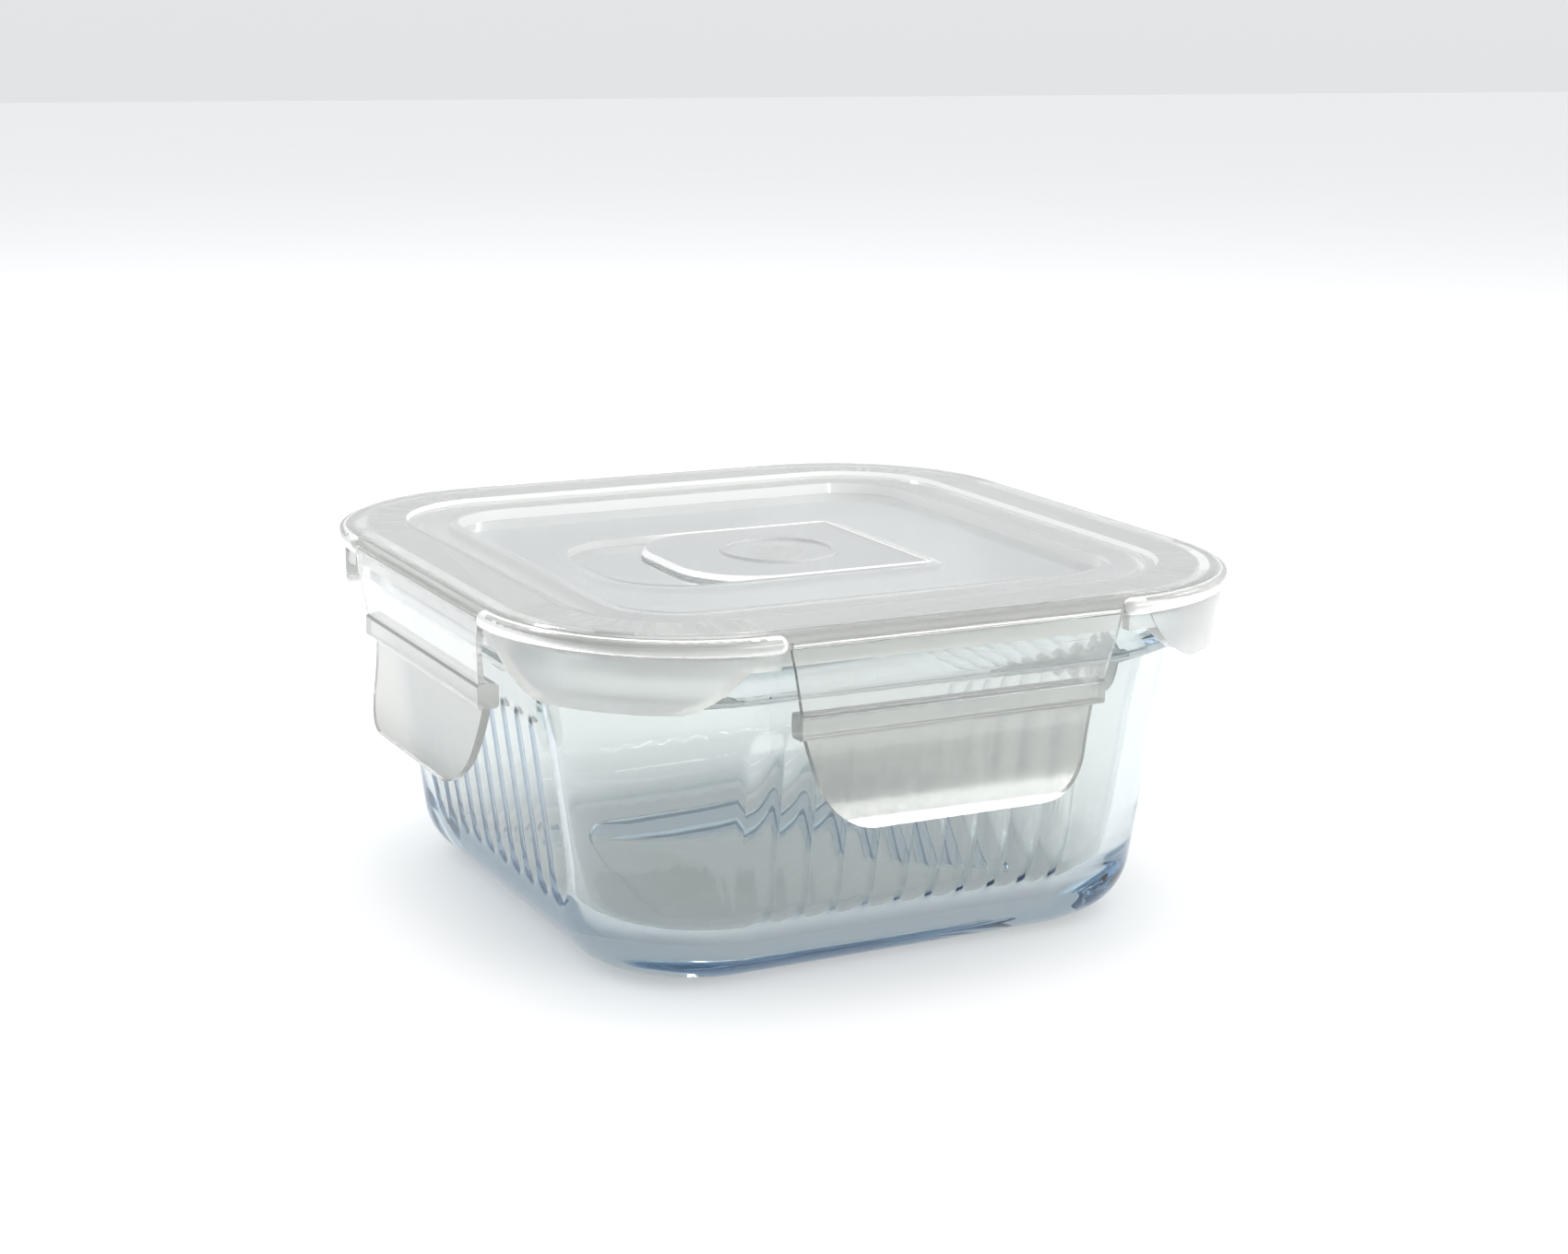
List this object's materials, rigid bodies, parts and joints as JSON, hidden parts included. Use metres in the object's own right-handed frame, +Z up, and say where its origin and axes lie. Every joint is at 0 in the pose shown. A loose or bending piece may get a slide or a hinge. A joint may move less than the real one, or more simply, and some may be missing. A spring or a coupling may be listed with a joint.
{
  "type": "glass storage container",
  "caption": "Square fluted glass food container with a latched plastic lid, a sealing gasket and a steam-vent flap.",
  "frame": {"origin": "centre of the foot, on the surface the container stands on", "axes": "+Z up; +X to the right along the front latch's side, towards the vent flap's hinge; -Y towards the front latch"},
  "size_m": [0.123, 0.123, 0.057],
  "materials": {
    "glass": "clear pressed glass, polished",
    "lid_plastic": "translucent frosted polypropylene, satin",
    "latch_plastic": "translucent polypropylene, smooth, thin and clearer at the hinge straps",
    "silicone": "soft translucent silicone, matte"
  },
  "bodies": {
    "dish": {"glass_body": "glass"},
    "lid": {"lid": "lid_plastic", "lid_gasket": "silicone", "vent_hinge_web": "lid_plastic", "hinge_web_front": "latch_plastic", "hinge_web_right": "latch_plastic", "hinge_web_back": "latch_plastic", "hinge_web_left": "latch_plastic"},
    "vent": {"vent_flap": "lid_plastic", "vent_plug": "silicone"},
    "latch_front": {"latch_front": "latch_plastic"},
    "latch_right": {"latch_right": "latch_plastic"},
    "latch_back": {"latch_back": "latch_plastic"},
    "latch_left": {"latch_left": "latch_plastic"}
  },
  "joints": [
    {"name": "lid_lift", "type": "slide", "parent": "dish", "child": "lid", "axis": [0, 0, 1], "range_m": [0, 0.05]},
    {"name": "vent_open", "type": "hinge", "parent": "lid", "child": "vent", "pos_m": [0.02, 0, 0.0542], "axis": [0, 1, 0], "range_deg": [0, 110]},
    {"name": "latch_front_turn", "type": "hinge", "parent": "lid", "child": "latch_front", "pos_m": [0, -0.0601, 0.0549], "axis": [-1, 0, 0], "range_deg": [-9, 170]},
    {"name": "latch_right_turn", "type": "hinge", "parent": "lid", "child": "latch_right", "pos_m": [0.0601, 0, 0.0549], "axis": [0, -1, 0], "range_deg": [-9, 170]},
    {"name": "latch_back_turn", "type": "hinge", "parent": "lid", "child": "latch_back", "pos_m": [0, 0.0601, 0.0549], "axis": [1, 0, 0], "range_deg": [-9, 170]},
    {"name": "latch_left_turn", "type": "hinge", "parent": "lid", "child": "latch_left", "pos_m": [-0.0601, 0, 0.0549], "axis": [0, 1, 0], "range_deg": [-9, 170]}
  ]
}
